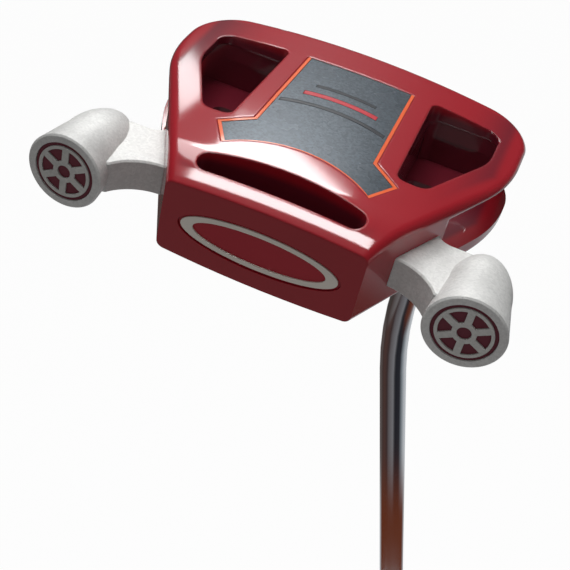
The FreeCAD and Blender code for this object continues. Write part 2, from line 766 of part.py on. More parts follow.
# ------------------------------------------------------------------ placing and writing
def head_direction(vector):
    """A direction in the head frame, seen from the row frame."""
    return Rotation(Vector(0, 1, 0), SHAFT_TILT).multVec(vector)


def head_matrix():
    """Places the head frame so that the bend's corner lies on the row's Z axis."""
    turn = Rotation(Vector(0, 1, 0), SHAFT_TILT)
    move = Vector(0, 0, corner_height()) - turn.multVec(tip_point(BEND_HEIGHT))
    matrix = Matrix()
    matrix.rotateY(math.radians(SHAFT_TILT))
    matrix.move(move)
    return matrix


def head_nodes():
    nodes = {
        "head_casting": head_casting(),
        "sole_badge": sole_badge(),
        "badge_border": badge_border(),
        "medallion_plate": medallion_plate(),
        "medallion_ring": medallion_ring(),
        "face_insert": face_insert(),
        "insert_tape": insert_tape(),
        "sight_line": sight_line(),
        "shaft_plug": shaft_plug(),
    }
    pod_pieces = {
        "pod": pod(),
        "slug": slug(),
        "backing_disc": backing_disc(),
        "end_wheel": end_wheel(),
        "studs": stud_pair(BOND),
    }
    for name, shape in pod_pieces.items():
        nodes["heel_" + name] = shape
        nodes["toe_" + name] = mirrored(shape)
    return nodes


def club_nodes():
    return {
        "shaft": shaft(),
        "grip_sleeve": grip_sleeve(),
        "grip_cap": grip_cap(),
        "grip_tape": grip_tape(),
    }


def write_all():
    os.makedirs("parts", exist_ok=True)
    matrix = head_matrix()
    nodes = club_nodes()
    for name, shape in head_nodes().items():
        placed = shape.copy()
        placed.transformShape(matrix, True)
        nodes[name] = placed
    for name, shape in sorted(nodes.items()):
        shape.exportStep(f"parts/{name}.step")
        box = shape.BoundBox
        print(f"{name}: solids {len(shape.Solids)}, valid {shape.isValid()}, volume {shape.Volume:.1f}, "
              f"z {box.ZMin:.1f} to {box.ZMax:.1f}")


write_all()
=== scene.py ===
import math

import bmesh
import bpy
from mathutils import Euler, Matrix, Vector


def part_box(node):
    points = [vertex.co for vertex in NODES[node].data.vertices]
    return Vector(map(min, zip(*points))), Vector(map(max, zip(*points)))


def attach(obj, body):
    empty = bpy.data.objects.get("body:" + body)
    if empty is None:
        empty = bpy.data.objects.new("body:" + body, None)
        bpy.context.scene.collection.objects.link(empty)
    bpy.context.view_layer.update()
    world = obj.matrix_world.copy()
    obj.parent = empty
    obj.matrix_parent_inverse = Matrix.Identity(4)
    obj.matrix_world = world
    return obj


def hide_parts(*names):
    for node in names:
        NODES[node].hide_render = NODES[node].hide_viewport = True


bl_info = {
    "name": "Mallet putter dresser",
    "version": (1, 0, 0),
    "blender": (4, 5, 0),
    "location": "View3D > Sidebar > Putter",
    "description": "Finishes for a mallet putter with rear pods, and the grip's moulded skin",
    "category": "Object",
}

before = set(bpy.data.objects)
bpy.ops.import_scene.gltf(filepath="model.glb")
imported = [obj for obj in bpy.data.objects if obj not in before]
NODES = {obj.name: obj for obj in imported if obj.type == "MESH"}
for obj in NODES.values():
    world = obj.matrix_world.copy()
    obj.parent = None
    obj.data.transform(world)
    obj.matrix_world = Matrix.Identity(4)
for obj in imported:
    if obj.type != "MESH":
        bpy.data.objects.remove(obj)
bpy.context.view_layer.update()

MM = 0.001
HEAD_TILT = math.radians(15.0)          # the head leans this far about Y on its shaft
HEAD_ORIGIN = (-0.0082454, -0.0815994, 0.866209)
HEAD_MIDDLE = (0.0, -0.04, 0.866)

# space inside the head, where its shade is painted, in its own axes and in millimetres; each pair is where a
# soft border starts and ends
HOLLOW_MIDDLE = -1.0
HOLLOW_REAR_HALF = 25.0                 # half width at the rear edge
HOLLOW_FLANK_RUN = 0.47                 # how much wider it gets for each millimetre forward
HOLLOW_WIDEST_HALF = 50.0
HOLLOW_SIDE_BORDER = (0.0, 3.0)
HOLLOW_REAR_BORDER = (3.5, 5.5)
HOLLOW_FRONT_BORDER = (84.5, 86.0)
HOLLOW_SOLE_BORDER = (-4.5, -1.6)
HOLLOW_CROWN_BORDER = (-28.0, -27.0)
SHARP_BELOW = (-9.0, -7.0)              # edges this far down from the sole's centre line stay sharp

# engraved arcs of the badge, in millimetres: radius, half the line's width, half the arc's span
ARC_CENTRE = 4.0                        # in front of the head's rear edge
OUTER_ARC = (57.0, 0.8, 9.0)
INNER_ARC = (46.0, 0.9, 15.5)
ACCENT_ARC = (52.0, 1.2, 11.0)
ARC_FADE = 0.3
ARC_DEPTH = 0.00025

# ribs of the face insert
FACE_MIDDLE = 0.0146                    # from the sole to the middle of the insert
FACE_RIB_COUNT = 11
FACE_RIB_LENGTH = 0.044
FACE_RIB_RADIUS = 0.0003
FACE_RIB_SINK = 0.00022

# grip
GRIP_BORE = 0.00775
GRIP_CORNER = 0.0022                    # radius between the flat front and the round back
GRIP_MOUTH_EDGE = 0.0006                # size of the rounded edge at the sleeve's upper end
GRIP_RINGS = 90
GRIP_BACK_POINTS = 32
GRIP_RIB_ZONE = (0.030, 0.240)
GRIP_RIB_LENGTH = 0.0105
GRIP_RIB_RADIUS = 0.0009
RIB_ROOM = 0.0004                       # how far the skin lies under the sleeve's outline, for its ribs
RAY_START = 0.03                        # the ribs are dropped on their surface from this far along +Y

# stage
# the round card glows with painted reflections for the chrome and the head; it is seen only in gloss
CARD_RADIUS = 0.55
CARD_HEIGHT = 0.80
CARD_SEGMENTS = 96
CARD_CHROME_FROM = (0.10, 0.21)         # brown below these heights, the chrome's shades above them
CARD_HEAD_FROM = (0.43, 0.47)           # the head's shades above these heights
FLOOR_HALF = 6.0
LAMP_HEIGHT = 1.466
# name, its power's setting, place, point that it faces, width and height, turn in degrees
SOFT_BOXES = (
    ("Rear soft box", "rear_box", (-0.06, 0.583), HEAD_MIDDLE, (0.28, 0.25), -8.0),
    ("Side soft box", "side_box", (-0.40, 0.90), HEAD_MIDDLE, (0.11, 0.05), -45.0),
    ("Link soft box", "link_box", (-0.14, 0.27), HEAD_MIDDLE, (0.10, 0.40), 0.0),
    ("Top soft box", "top_box", (0.05, -0.05), (0.05, -0.04, 0.866), (0.32, 0.14), 0.0),
)


# ------------------------------------------------------------------ node tree helpers
def new_material(name):
    """Empty material with a Principled shader and an output."""
    material = bpy.data.materials.new(name)
    material.use_nodes = True
    tree = material.node_tree
    tree.nodes.clear()
    shader = tree.nodes.new("ShaderNodeBsdfPrincipled")
    output = tree.nodes.new("ShaderNodeOutputMaterial")
    tree.links.new(shader.outputs["BSDF"], output.inputs["Surface"])
    return material, tree, shader


def add(tree, kind, values=None, **settings):
    """Node of a kind, with its properties and its input values set."""
    node = tree.nodes.new(kind)
    for name, value in settings.items():
        setattr(node, name, value)
    for key, value in (values or {}).items():
        node.inputs[key].default_value = value
    return node


def link(tree, source, output, target, socket):
    """Links a node's output to a node's socket, both by name or number."""
    tree.links.new(source.outputs[output], target.inputs[socket])


def feed(tree, value, socket):
    """Links a socket to a node's input, or sets a plain value on it."""
    if isinstance(value, bpy.types.NodeSocket):
        tree.links.new(value, socket)
    else:
        socket.default_value = value


def calc(tree, operation, first, second=None, third=None, clamp=False):
    """Math node on sockets or numbers; returns its output socket."""
    node = add(tree, "ShaderNodeMath", operation=operation, use_clamp=clamp)
    for i, value in enumerate((first, second, third)):
        if value is not None:
            feed(tree, value, node.inputs[i])
    return node.outputs[0]


def mix_colour(tree, factor, first, second):
    """Mix two colours; each argument is a socket or a value."""
    node = add(tree, "ShaderNodeMix", data_type="RGBA")
    for index, value in ((0, factor), (6, first), (7, second)):
        feed(tree, value, node.inputs[index])
    return node.outputs[2]


def step_up(tree, value, low, high):
    """0 below low, 1 above high, smooth between."""
    node = add(tree, "ShaderNodeMapRange", interpolation_type="SMOOTHSTEP", clamp=True)
    tree.links.new(value, node.inputs["Value"])
    node.inputs["From Min"].default_value = low
    node.inputs["From Max"].default_value = high
    return node.outputs["Result"]


def new_group(name, inputs, outputs):
    """Shader node group with named sockets; inputs are (name, type, default)."""
    tree = bpy.data.node_groups.new(name, "ShaderNodeTree")
    for label, kind, default in inputs:
        socket = tree.interface.new_socket(name=label, in_out="INPUT", socket_type=kind)
        socket.default_value = default
    for label, kind in outputs:
        tree.interface.new_socket(name=label, in_out="OUTPUT", socket_type=kind)
    return tree, tree.nodes.new("NodeGroupInput"), tree.nodes.new("NodeGroupOutput")


def place_group(tree, name, **values):
    """Instance of a shared group, with its inputs set by name."""
    node = tree.nodes.new("ShaderNodeGroup")
    node.node_tree = bpy.data.node_groups[name]
    for key, value in values.items():
        node.inputs[key.replace("_", " ")].default_value = value
    return node


def rgba(colour):
    """Opaque colour with its fourth value."""
    return (colour[0], colour[1], colour[2], 1.0)


def shaded(colour, share):
    """A colour made darker or paler by a share, as four values."""
    return rgba([value * share for value in colour])


def grain_over_edges(tree, radius, **values):
    """Surface grain on top of softened edges of a radius."""
    edges = place_group(tree, "Soft edges", Radius=radius)
    grain = place_group(tree, "Surface grain", **values)
    link(tree, edges, "Normal", grain, "Normal")
    return grain


def dress(tree, shader, tint, grain):
    """Puts a colour, and a grain's roughness and normal, on a shader."""
    tree.links.new(tint, shader.inputs["Base Color"])
    link(tree, grain, "Roughness", shader, "Roughness")
    link(tree, grain, "Normal", shader, "Normal")


# ------------------------------------------------------------------ shared effects
def build_grain():
    """Fine surface grain: a bumped normal and a roughness that varies."""
    tree, source, sink = new_group(
        "Surface grain",
        (("Size", "NodeSocketFloat", 0.0005), ("Height", "NodeSocketFloat", 0.00001),
         ("Roughness", "NodeSocketFloat", 0.4), ("Variation", "NodeSocketFloat", 0.1),
         ("Normal", "NodeSocketVector", (0.0, 0.0, 0.0))),
        (("Normal", "NodeSocketVector"), ("Roughness", "NodeSocketFloat"), ("Cloud", "NodeSocketFloat")),
    )
    place = add(tree, "ShaderNodeTexCoord")
    scale = calc(tree, "DIVIDE", 1.0, source.outputs["Size"])
    fine = add(tree, "ShaderNodeTexNoise", {"Detail": 3.0, "Roughness": 0.6})
    link(tree, place, "Object", fine, "Vector")
    tree.links.new(scale, fine.inputs["Scale"])
    cloud = add(tree, "ShaderNodeTexNoise", {"Scale": 55.0, "Detail": 4.0})
    link(tree, place, "Object", cloud, "Vector")
    bump = add(tree, "ShaderNodeBump", {"Strength": 1.0, "Distance": 1.0})
    height = calc(tree, "MULTIPLY", fine.outputs["Fac"], source.outputs["Height"])
    tree.links.new(height, bump.inputs["Height"])
    tree.links.new(source.outputs["Normal"], bump.inputs["Normal"])
    drift = calc(tree, "SUBTRACT", cloud.outputs["Fac"], 0.5)
    drift = calc(tree, "MULTIPLY", drift, source.outputs["Variation"])
    rough = calc(tree, "ADD", source.outputs["Roughness"], drift, clamp=True)
    tree.links.new(bump.outputs["Normal"], sink.inputs["Normal"])
    tree.links.new(rough, sink.inputs["Roughness"])
    tree.links.new(cloud.outputs["Fac"], sink.inputs["Cloud"])


def soft_normal(tree, radius, amount):
    """Normal with rounded edges; the radius and how much of it shows are sockets or numbers."""
    bevel = add(tree, "ShaderNodeBevel", samples=6)
    feed(tree, radius, bevel.inputs["Radius"])
    shape = add(tree, "ShaderNodeNewGeometry")
    blend = add(tree, "ShaderNodeMix", data_type="VECTOR")
    feed(tree, amount, blend.inputs[0])
    tree.links.new(shape.outputs["Normal"], blend.inputs[4])
    tree.links.new(bevel.outputs["Normal"], blend.inputs[5])
    return blend.outputs[1]


def build_edges():
    """Rounded edges for sharp CAD corners."""
    tree, source, sink = new_group(
        "Soft edges",
        (("Radius", "NodeSocketFloat", 0.0004), ("Amount", "NodeSocketFloat", 1.0)),
        (("Normal", "NodeSocketVector"),),
    )
    normal = soft_normal(tree, source.outputs["Radius"], source.outputs["Amount"])
    tree.links.new(normal, sink.inputs["Normal"])


def build_dust():
    """Sparse tiny specks, as a mask."""
    tree, source, sink = new_group(
        "Dust specks",
        (("Spacing", "NodeSocketFloat", 0.004), ("Size", "NodeSocketFloat", 0.05),
         ("Amount", "NodeSocketFloat", 0.2)),
        (("Speck", "NodeSocketFloat"),),
    )
    place = add(tree, "ShaderNodeTexCoord")
    scale = calc(tree, "DIVIDE", 1.0, source.outputs["Spacing"])
    cells = add(tree, "ShaderNodeTexVoronoi", feature="F1")
    link(tree, place, "Object", cells, "Vector")
    tree.links.new(scale, cells.inputs["Scale"])
    chance = add(tree, "ShaderNodeSeparateColor")
    link(tree, cells, "Color", chance, "Color")
    chosen = calc(tree, "LESS_THAN", chance.outputs[0], source.outputs["Amount"])
    size = calc(tree, "MULTIPLY", chance.outputs[1], source.outputs["Size"])
    near = calc(tree, "LESS_THAN", cells.outputs["Distance"], size)
    tree.links.new(calc(tree, "MULTIPLY", chosen, near), sink.inputs["Speck"])


def build_flakes():
    """Cells of differing shade, as in flaked lacquer or a blasted skin."""
    tree, source, sink = new_group(
        "Shade flakes",
        (("Size", "NodeSocketFloat", 0.0004), ("Low", "NodeSocketFloat", 0.8),
         ("High", "NodeSocketFloat", 1.2), ("Color", "NodeSocketColor", (1.0, 1.0, 1.0, 1.0))),
        (("Color", "NodeSocketColor"),),
    )
    place = add(tree, "ShaderNodeTexCoord")
    cells = add(tree, "ShaderNodeTexVoronoi", feature="F1")
    link(tree, place, "Object", cells, "Vector")
    tree.links.new(calc(tree, "DIVIDE", 1.0, source.outputs["Size"]), cells.inputs["Scale"])
    chance = add(tree, "ShaderNodeSeparateColor")
    link(tree, cells, "Color", chance, "Color")
    span = calc(tree, "SUBTRACT", source.outputs["High"], source.outputs["Low"])
    level = calc(tree, "MULTIPLY_ADD", chance.outputs[0], span, source.outputs["Low"])
    shade = add(tree, "ShaderNodeVectorMath", operation="SCALE")
    tree.links.new(source.outputs["Color"], shade.inputs[0])
    tree.links.new(level, shade.inputs["Scale"])
    tree.links.new(shade.outputs["Vector"], sink.inputs["Color"])


def head_axes(tree):
    """Node that splits the position in the head's own axes, in millimetres."""
    place = add(tree, "ShaderNodeTexCoord")
    mapping = add(tree, "ShaderNodeMapping", vector_type="TEXTURE")
    mapping.inputs["Location"].default_value = HEAD_ORIGIN
    mapping.inputs["Rotation"].default_value = (0.0, HEAD_TILT, 0.0)
    mapping.inputs["Scale"].default_value = (MM, MM, MM)
    link(tree, place, "Object", mapping, "Vector")
    split = add(tree, "ShaderNodeSeparateXYZ")
    link(tree, mapping, "Vector", split, "Vector")
    return split


def build_head_place():
    """Position in the head's own axes, in millimetres."""
    outputs = tuple((axis, "NodeSocketFloat") for axis in "XYZ")
    tree, _, sink = new_group("Head position", (), outputs)
    split = head_axes(tree)
    for axis in "XYZ":
        tree.links.new(split.outputs[axis], sink.inputs[axis])


def finish_node(name, material):
    """Puts a material on a carried-over CAD node."""
    mesh = NODES[name].data
    mesh.materials.clear()
    mesh.materials.append(material)


# ------------------------------------------------------------------ rows of moulded ribs
RIB_INPUTS = (
    ("Count", "NodeSocketInt"), ("Start", "NodeSocketVector"), ("Step", "NodeSocketVector"),
    ("Length", "NodeSocketFloat"), ("Radius", "NodeSocketFloat"), ("Sink", "NodeSocketFloat"),
    ("Lean", "NodeSocketFloat"), ("Material", "NodeSocketMaterial"),
)


def rib_row_tree():
    """Geometry Nodes tree: a row of round ribs laid along X, pressed onto a surface that faces +Y."""
    tree = bpy.data.node_groups.new("Rib row", "GeometryNodeTree")
    tree.interface.new_socket(name="Geometry", in_out="OUTPUT", socket_type="NodeSocketGeometry")
    tree.interface.new_socket(name="Surface", in_out="INPUT", socket_type="NodeSocketGeometry")
    keys = {}
    for label, kind in RIB_INPUTS:
        keys[label] = tree.interface.new_socket(name=label, in_out="INPUT", socket_type=kind).identifier
    source = tree.nodes.new("NodeGroupInput")
    sink = tree.nodes.new("NodeGroupOutput")
    row = tree.nodes.new("GeometryNodeMeshLine")
    link(tree, source, "Count", row, "Count")
    link(tree, source, "Start", row, "Start Location")
    link(tree, source, "Step", row, "Offset")
    cast = tree.nodes.new("GeometryNodeRaycast")
    link(tree, source, "Surface", cast, "Target Geometry")
    cast.inputs["Ray Direction"].default_value = (0.0, -1.0, 0.0)
    cast.inputs["Ray Length"].default_value = 0.05
    press = tree.nodes.new("ShaderNodeCombineXYZ")
    tree.links.new(calc(tree, "MULTIPLY", source.outputs["Sink"], -1.0), press.inputs["Y"])
    lay = tree.nodes.new("GeometryNodeSetPosition")
    link(tree, row, "Mesh", lay, "Geometry")
    link(tree, cast, "Is Hit", lay, "Selection")
    link(tree, cast, "Hit Position", lay, "Position")
    link(tree, press, "Vector", lay, "Offset")
    bar = tree.nodes.new("GeometryNodeMeshCylinder")
    bar.inputs["Vertices"].default_value = 12
    link(tree, source, "Radius", bar, "Radius")
    link(tree, source, "Length", bar, "Depth")
    down = tree.nodes.new("GeometryNodeTransform")
    down.inputs["Rotation"].default_value = (0.0, math.pi / 2, 0.0)
    link(tree, bar, "Mesh", down, "Geometry")
    slope = tree.nodes.new("ShaderNodeCombineXYZ")
    link(tree, source, "Lean", slope, "Y")
    lean = tree.nodes.new("GeometryNodeTransform")
    link(tree, down, "Geometry", lean, "Geometry")
    link(tree, slope, "Vector", lean, "Rotation")
    copies = tree.nodes.new("GeometryNodeInstanceOnPoints")
    link(tree, lay, "Geometry", copies, "Points")
    link(tree, lean, "Geometry", copies, "Instance")
    real = tree.nodes.new("GeometryNodeRealizeInstances")
    link(tree, copies, "Instances", real, "Geometry")
    paint = tree.nodes.new("GeometryNodeSetMaterial")
    link(tree, real, "Geometry", paint, "Geometry")
    link(tree, source, "Material", paint, "Material")
    link(tree, paint, "Geometry", sink, "Geometry")
    return tree, keys


def rib_row(name, surface, values):
    """Plain piece of moulded ribs that follow a surface mesh."""
    tree, keys = rib_row_tree()
    piece = bpy.data.objects.new(name, surface)
    bpy.context.scene.collection.objects.link(piece)
    modifier = piece.modifiers.new("Rib row", "NODES")
    modifier.node_group = tree
    for label, value in values.items():
        modifier[keys[label]] = value
    piece.update_tag()
    graph = bpy.context.evaluated_depsgraph_get()
    mesh = bpy.data.meshes.new_from_object(piece.evaluated_get(graph))
    piece.modifiers.remove(modifier)
    piece.data = mesh
    mesh.name = name
    if not mesh.polygons:
        raise RuntimeError("no ribs were laid for " + name)
    return piece


# ------------------------------------------------------------------ property groups
def colour_prop(name, description, value):
    """Colour that a user may change."""
    return bpy.props.FloatVectorProperty(name=name, description=description, subtype="COLOR", size=3,
                                         default=value, min=0.0, max=1.0)


def length_prop(name, description, value):
    """Length that a user may change."""
    return bpy.props.FloatProperty(name=name, description=description, subtype="DISTANCE", unit="LENGTH",
                                   default=value, min=0.0)


def power_prop(name, description, value):
    """Lamp power that a user may change."""
    return bpy.props.FloatProperty(name=name, description=description, subtype="POWER", default=value,
                                   min=0.0)


class PutterHeadSettings(bpy.types.PropertyGroup):
    paint: colour_prop("Paint", "Candy red of the head casting", (0.345, 0.009, 0.018))
    # painted shade: this colour is a darker red inside the head that stands in for the shade there, not a
    # paint of its own
    hollow_shade: colour_prop("Hollow", "Painted shade inside the head", (0.13, 0.010, 0.020))
    badge: colour_prop("Badge", "Grey metal of the sole badge", (0.060, 0.074, 0.088))
    badge_fill: colour_prop("Badge fill", "Dark fill of the badge's engraved arcs", (0.025, 0.027, 0.032))
    badge_accent: colour_prop("Badge accent", "Red fill of the badge's middle arc", (0.42, 0.02, 0.03))
    border: colour_prop("Border", "Orange edge round the badge", (0.80, 0.13, 0.035))
    plate: colour_prop("Medallion plate", "Red plate in the rear face", (0.42, 0.018, 0.032))
    ring: colour_prop("Medallion ring", "Silver ring on that plate", (0.92, 0.87, 0.78))
    insert: colour_prop("Face insert", "Polymer of the striking face", (0.035, 0.036, 0.04))
    groove_pitch: length_prop("Groove pitch", "Distance between the face insert's ribs", 0.0014)
    line: colour_prop("Sight line", "Enamel of the crown's sight line", (0.80, 0.80, 0.78))


class PutterPodSettings(bpy.types.PropertyGroup):
    metal: colour_prop("Metal", "Bead-blasted metal of pods and arms", (0.69, 0.69, 0.675))
    disc: colour_prop("Disc", "Maroon backing disc behind the wheel", (0.16, 0.030, 0.045))
    wheel: colour_prop("Wheel", "Spoked wheel in the pod's end", (0.62, 0.62, 0.59))
    blast: length_prop("Blast size", "Size of the bead-blasted grain", 0.0006)


class PutterShaftSettings(bpy.types.PropertyGroup):
    chrome: colour_prop("Chrome", "Tint of the plated tube", (0.80, 0.80, 0.82))
    grip: colour_prop("Grip", "Rubber of the grip", (0.030, 0.030, 0.032))
    rib_pitch: length_prop("Rib pitch", "Distance between the grip's moulded ribs", 0.0050)
    rib_height: length_prop("Rib height", "Height of the grip's moulded ribs", 0.00036)


class PutterStageSettings(bpy.types.PropertyGroup):
    rear_box: power_prop("Rear box", "Soft box that draws the band in front of the slot", 2.75)
    side_box: power_prop("Side box", "Soft box that draws the light on the toe's rim", 0.12)
    link_box: power_prop("Link box", "Dimmer strip between the rear box and the top box", 0.75)
    top_box: power_prop("Top box", "Soft box that draws the band behind the slot", 2.15)
    ambient: bpy.props.FloatProperty(name="Ambient", description="Strength of the room's light", default=0.29,
                                     min=0.0)
    mirrored: bpy.props.FloatProperty(name="Mirrored room", description="Strength of the room in gloss",
                                      default=0.05, min=0.0)


# ------------------------------------------------------------------ head finishes
class PUTTER_OT_shared_effects(bpy.types.Operator):
    """Builds the shader groups that several finishes share"""
    bl_idname = "putter.shared_effects"
    bl_label = "Shared effects"

    def execute(self, context):
        build_grain()
        build_edges()
        build_dust()
        build_flakes()
        build_head_place()
        return {"FINISHED"}


def hollow_shade_mask(tree, place):
    """Mask of the space behind the sole's windows and of the slot, away from every outer face, where shade is
    painted.
    """
    across = calc(tree, "SUBTRACT", place.outputs["X"], HOLLOW_MIDDLE)
    flank = calc(tree, "MULTIPLY_ADD", place.outputs["Y"], HOLLOW_FLANK_RUN, HOLLOW_REAR_HALF)
    half = calc(tree, "MINIMUM", flank, HOLLOW_WIDEST_HALF)
    sides = step_up(tree, calc(tree, "SUBTRACT", half, calc(tree, "ABSOLUTE", across)), *HOLLOW_SIDE_BORDER)
    rear = step_up(tree, place.outputs["Y"], *HOLLOW_REAR_BORDER)
    front = calc(tree, "SUBTRACT", 1.0, step_up(tree, place.outputs["Y"], *HOLLOW_FRONT_BORDER))
    sole = calc(tree, "SUBTRACT", 1.0, step_up(tree, place.outputs["Z"], *HOLLOW_SOLE_BORDER))
    crown = step_up(tree, place.outputs["Z"], *HOLLOW_CROWN_BORDER)
    plan = calc(tree, "MULTIPLY", calc(tree, "MULTIPLY", sides, rear), front)
    return calc(tree, "MULTIPLY", plan, calc(tree, "MULTIPLY", sole, crown))


def lacquer(name, colour, edge, coat=1.0, dust=0.0, hollow_shade=None):
    """Glossy lacquer with softened edges, faint grain and some dust; its last argument is a painted shade, a
    darker colour inside the head.
    """
    material, tree, shader = new_material(name)
    edges = place_group(tree, "Soft edges", Radius=edge)
    coat_amount = 1.0
    if hollow_shade:
        coat_amount = step_up(tree, head_axes(tree).outputs["Z"], *SHARP_BELOW)
        place = place_group(tree, "Head position")
        tree.links.new(step_up(tree, place.outputs["Z"], *SHARP_BELOW), edges.inputs["Amount"])
    grain = place_group(tree, "Surface grain", Size=0.0011, Height=0.0000008, Roughness=0.42,
                        Variation=0.12)
    link(tree, edges, "Normal", grain, "Normal")
    tint = mix_colour(tree, grain.outputs["Cloud"], shaded(colour, 0.86), rgba(colour))
    if dust:
        specks = place_group(tree, "Dust specks", Spacing=0.0045, Size=0.055, Amount=dust)
        tint = mix_colour(tree, specks.outputs["Speck"], tint, rgba((0.62, 0.50, 0.48)))
    if hollow_shade:
        # painted shade: the inside of the head is darkened where shade falls
        tint = mix_colour(tree, hollow_shade_mask(tree, place), tint, rgba(hollow_shade))
    dress(tree, shader, tint, grain)
    # the coat's normal is made in the material itself, because a group's normal goes only to Normal
    tree.links.new(soft_normal(tree, edge, coat_amount), shader.inputs["Coat Normal"])
    shader.inputs["Coat Weight"].default_value = coat
    shader.inputs["Specular IOR Level"].default_value = 0.12
    shader.inputs["Coat Roughness"].default_value = 0.07
    shader.inputs["Coat IOR"].default_value = 1.6
    return material


class PUTTER_OT_head_paint(bpy.types.Operator):
    """Lacquer of candy red on the head casting, with a painted shade inside the head"""
    bl_idname = "putter.head_paint"
    bl_label = "Head paint"

    def execute(self, context):
        settings = context.scene.putter_head
        # the head casting gets a painted shade inside it
        finish_node("head_casting", lacquer("Candy red lacquer", settings.paint, edge=0.0010, dust=0.10,
                                            hollow_shade=settings.hollow_shade))
        return {"FINISHED"}


class PUTTER_OT_badge(bpy.types.Operator):
    """Flaked grey badge with engraved arcs, and its orange border"""
    bl_idname = "putter.badge"
    bl_label = "Sole badge"

    def arc(self, tree, reach, across, shape):
        """Mask of one engraved arc round the centre of the badge's arcs."""
        radius, half_width, span = shape
        off = calc(tree, "ABSOLUTE", calc(tree, "SUBTRACT", reach, radius))
        line = calc(tree, "SUBTRACT", 1.0, step_up(tree, off, half_width * 0.7, half_width))
        side = calc(tree, "ABSOLUTE", across)
        inside = calc(tree, "SUBTRACT", 1.0, step_up(tree, side, span, span + ARC_FADE))
        return calc(tree, "MULTIPLY", line, inside)

    def execute(self, context):
        settings = context.scene.putter_head
        material, tree, shader = new_material("Flaked badge metal")
        grain = grain_over_edges(tree, 0.00015, Size=0.00042, Height=0.000003, Roughness=0.27, Variation=0.04)
        place = place_group(tree, "Head position")
        across = place.outputs["X"]
        along = calc(tree, "SUBTRACT", place.outputs["Y"], ARC_CENTRE)
        squares = calc(tree, "ADD", calc(tree, "MULTIPLY", across, across),
                       calc(tree, "MULTIPLY", along, along))
        reach = calc(tree, "SQRT", squares)
        dark = calc(tree, "MAXIMUM", self.arc(tree, reach, across, OUTER_ARC),
                    self.arc(tree, reach, across, INNER_ARC))
        accent = self.arc(tree, reach, across, ACCENT_ARC)
        flakes = place_group(tree, "Shade flakes", Size=0.0006, Low=0.74, High=1.26,
                             Color=rgba(settings.badge))
        tint = mix_colour(tree, dark, flakes.outputs["Color"], rgba(settings.badge_fill))
        tint = mix_colour(tree, accent, tint, rgba(settings.badge_accent))
        dress(tree, shader, tint, grain)
        cut = calc(tree, "MAXIMUM", dark, accent)
        sunk = add(tree, "ShaderNodeBump", {"Strength": 1.0, "Distance": -ARC_DEPTH})
        tree.links.new(cut, sunk.inputs["Height"])
        link(tree, grain, "Normal", sunk, "Normal")
        link(tree, sunk, "Normal", shader, "Normal")
        bare = calc(tree, "SUBTRACT", 0.25, calc(tree, "MULTIPLY", cut, 0.25))
        tree.links.new(bare, shader.inputs["Metallic"])
        shader.inputs["Specular IOR Level"].default_value = 0.2
        finish_node("sole_badge", material)
        finish_node("badge_border", lacquer("Orange border lacquer", settings.border, edge=0.00012, coat=0.6))
        return {"FINISHED"}


class PUTTER_OT_medallion(bpy.types.Operator):
    """Red oval plate and brushed silver ring in the rear face"""
    bl_idname = "putter.medallion"
    bl_label = "Rear medallion"

    def execute(self, context):
        settings = context.scene.putter_head
        finish_node("medallion_plate", lacquer("Red medallion enamel", settings.plate, edge=0.0002, coat=0.5))
        material, tree, shader = new_material("Brushed ring silver")
        grain = grain_over_edges(tree, 0.0002, Size=0.0003, Height=0.000006, Roughness=0.38, Variation=0.15)
        tint = mix_colour(tree, grain.outputs["Cloud"], shaded(settings.ring, 0.8), rgba(settings.ring))
        dress(tree, shader, tint, grain)
        shader.inputs["Metallic"].default_value = 0.3
        finish_node("medallion_ring", material)
        return {"FINISHED"}


class PUTTER_OT_face(bpy.types.Operator):
    """Ribbed polymer insert of the striking face, its tape, and the crown's sight line"""
    bl_idname = "putter.face"
    bl_label = "Face insert and sight line"

    def execute(self, context):
        settings = context.scene.putter_head
        material, tree, shader = new_material("Insert polymer")
        grain = grain_over_edges(tree, 0.0002, Size=0.0004, Height=0.00001, Roughness=0.55, Variation=0.2)
        tint = mix_colour(tree, grain.outputs["Cloud"], rgba(settings.insert), shaded(settings.insert, 1.5))
        dress(tree, shader, tint, grain)
        finish_node("face_insert", material)
        surface = NODES["face_insert"].data.copy()
        surface.transform(NODES["face_insert"].matrix_world)
        highest = settings.groove_pitch * (FACE_RIB_COUNT - 1) / 2 - FACE_MIDDLE
        up = Vector((math.sin(HEAD_TILT), 0.0, math.cos(HEAD_TILT)))
        start = Vector((HEAD_ORIGIN[0], RAY_START, HEAD_ORIGIN[2])) + highest * up
        ribs = rib_row("face_ribs", surface, {
            "Count": FACE_RIB_COUNT, "Start": start, "Step": -settings.groove_pitch * up,
            "Length": FACE_RIB_LENGTH, "Radius": FACE_RIB_RADIUS, "Sink": FACE_RIB_SINK,
            "Lean": HEAD_TILT, "Material": material,
        })
        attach(ribs, "root")
        finish_node("insert_tape", matte("Bonding tape", (0.62, 0.60, 0.52), 0.8))
        finish_node("sight_line", lacquer("White line enamel", settings.line, edge=0.0001, coat=0.4))
        return {"FINISHED"}


def matte(name, colour, roughness):
    """Plain dull finish with a fine grain and a slight change of shade."""
    material, tree, shader = new_material(name)
    grain = place_group(tree, "Surface grain", Size=0.0006, Height=0.00002, Roughness=roughness,
                        Variation=0.1)
    tint = mix_colour(tree, grain.outputs["Cloud"], shaded(colour, 0.8), rgba(colour))
    dress(tree, shader, tint, grain)
    return material


